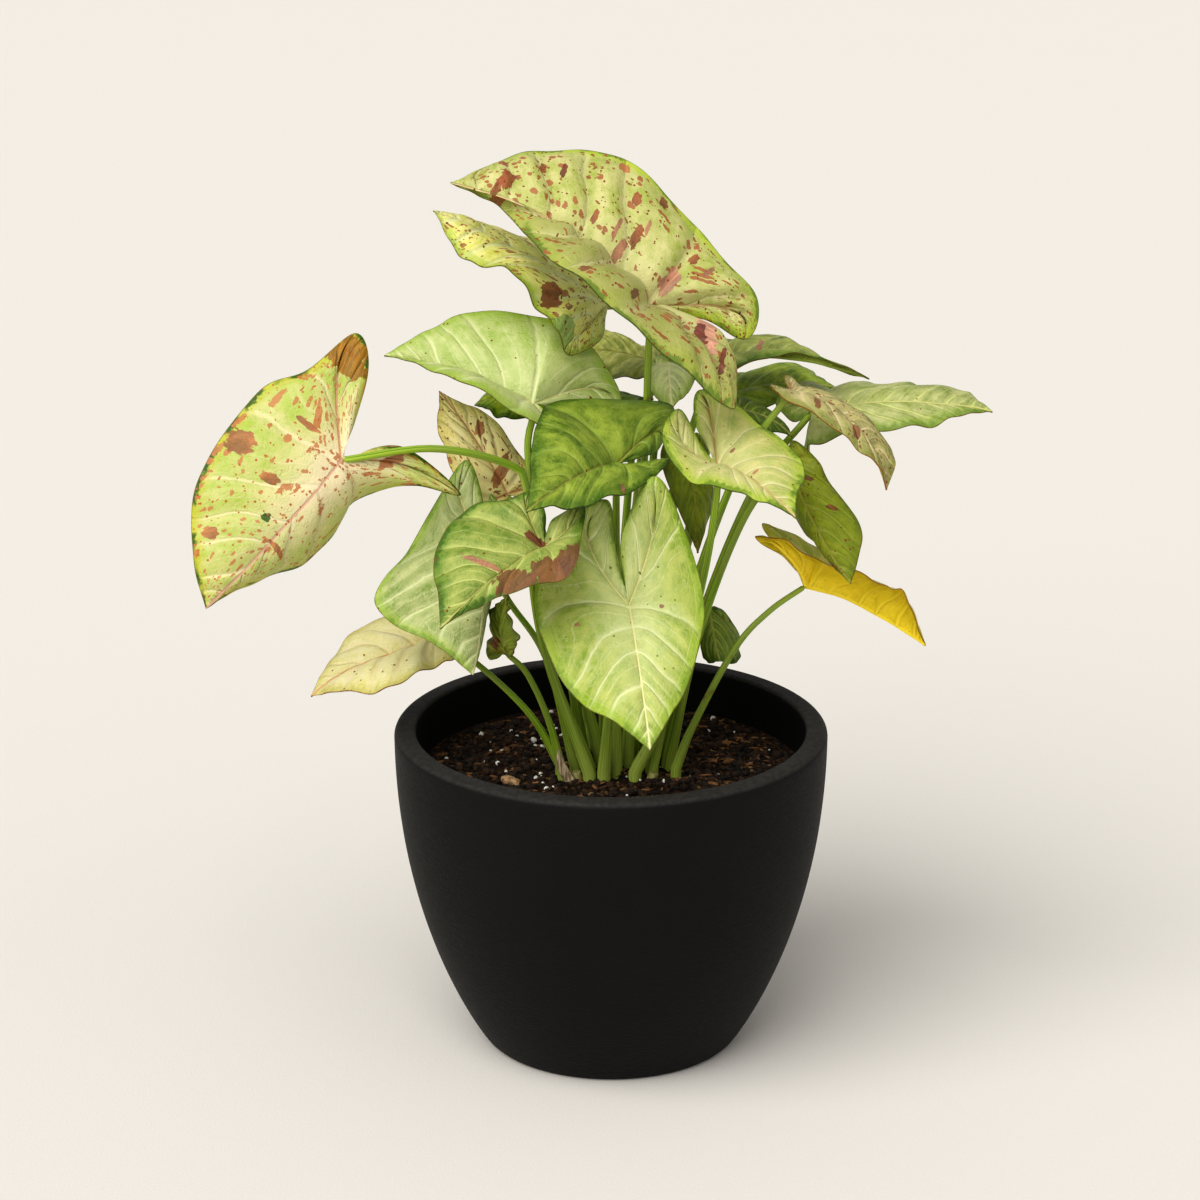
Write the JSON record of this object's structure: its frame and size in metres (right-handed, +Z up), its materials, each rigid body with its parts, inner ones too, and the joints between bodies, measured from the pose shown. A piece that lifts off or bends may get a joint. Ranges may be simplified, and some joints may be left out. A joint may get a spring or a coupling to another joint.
{
  "type": "potted arrowhead plant",
  "caption": "Bushy arrowhead plant: pale, pink-flecked, arrow-shaped leaves on long stems, rooted in soil in a tapered matte black planter.",
  "frame": {"origin": "centre of the planter's flat base", "axes": "+Z up, -Y towards the viewer of the picture, +X to the picture's right"},
  "size_m": [0.3235, 0.2087, 0.3699],
  "materials": {
    "pot_clay": "matte",
    "soil_mix": "matte",
    "perlite": "matte",
    "bark": "matte",
    "stem": "satin",
    "leaf_cream": "satin",
    "leaf_pale": "satin",
    "leaf_mid": "satin",
    "leaf_deep": "satin",
    "leaf_olive": "satin",
    "leaf_yellow": "satin",
    "leaf_bronze": "satin"
  },
  "bodies": {
    "root": {"pot": "pot_clay", "soil": "soil_mix", "leaf_crest": "leaf_cream", "leaf_behind_crest": "leaf_pale", "leaf_far_left": "leaf_pale", "leaf_pale_left": "leaf_pale", "leaf_dark_centre": "leaf_deep", "leaf_right_centre": "leaf_cream", "leaf_long_right": "leaf_mid", "leaf_folded_right": "leaf_bronze", "leaf_upper_right": "leaf_mid", "leaf_back_right": "leaf_deep", "leaf_back_strip": "leaf_deep", "leaf_drooping_right": "leaf_olive", "leaf_yellow": "leaf_yellow", "leaf_pink_patch": "leaf_mid", "leaf_broad_left": "leaf_pale", "leaf_low_left": "leaf_bronze", "leaf_curled": "leaf_olive", "leaf_front": "leaf_pale", "leaf_small_right": "leaf_deep", "leaf_behind_stems": "leaf_olive", "leaf_back_centre": "leaf_olive", "leaf_back_pale": "leaf_pale", "leaf_shaded": "leaf_deep", "leaf_back_left": "leaf_deep", "leaf_bronze": "leaf_bronze"}
  },
  "joints": []
}
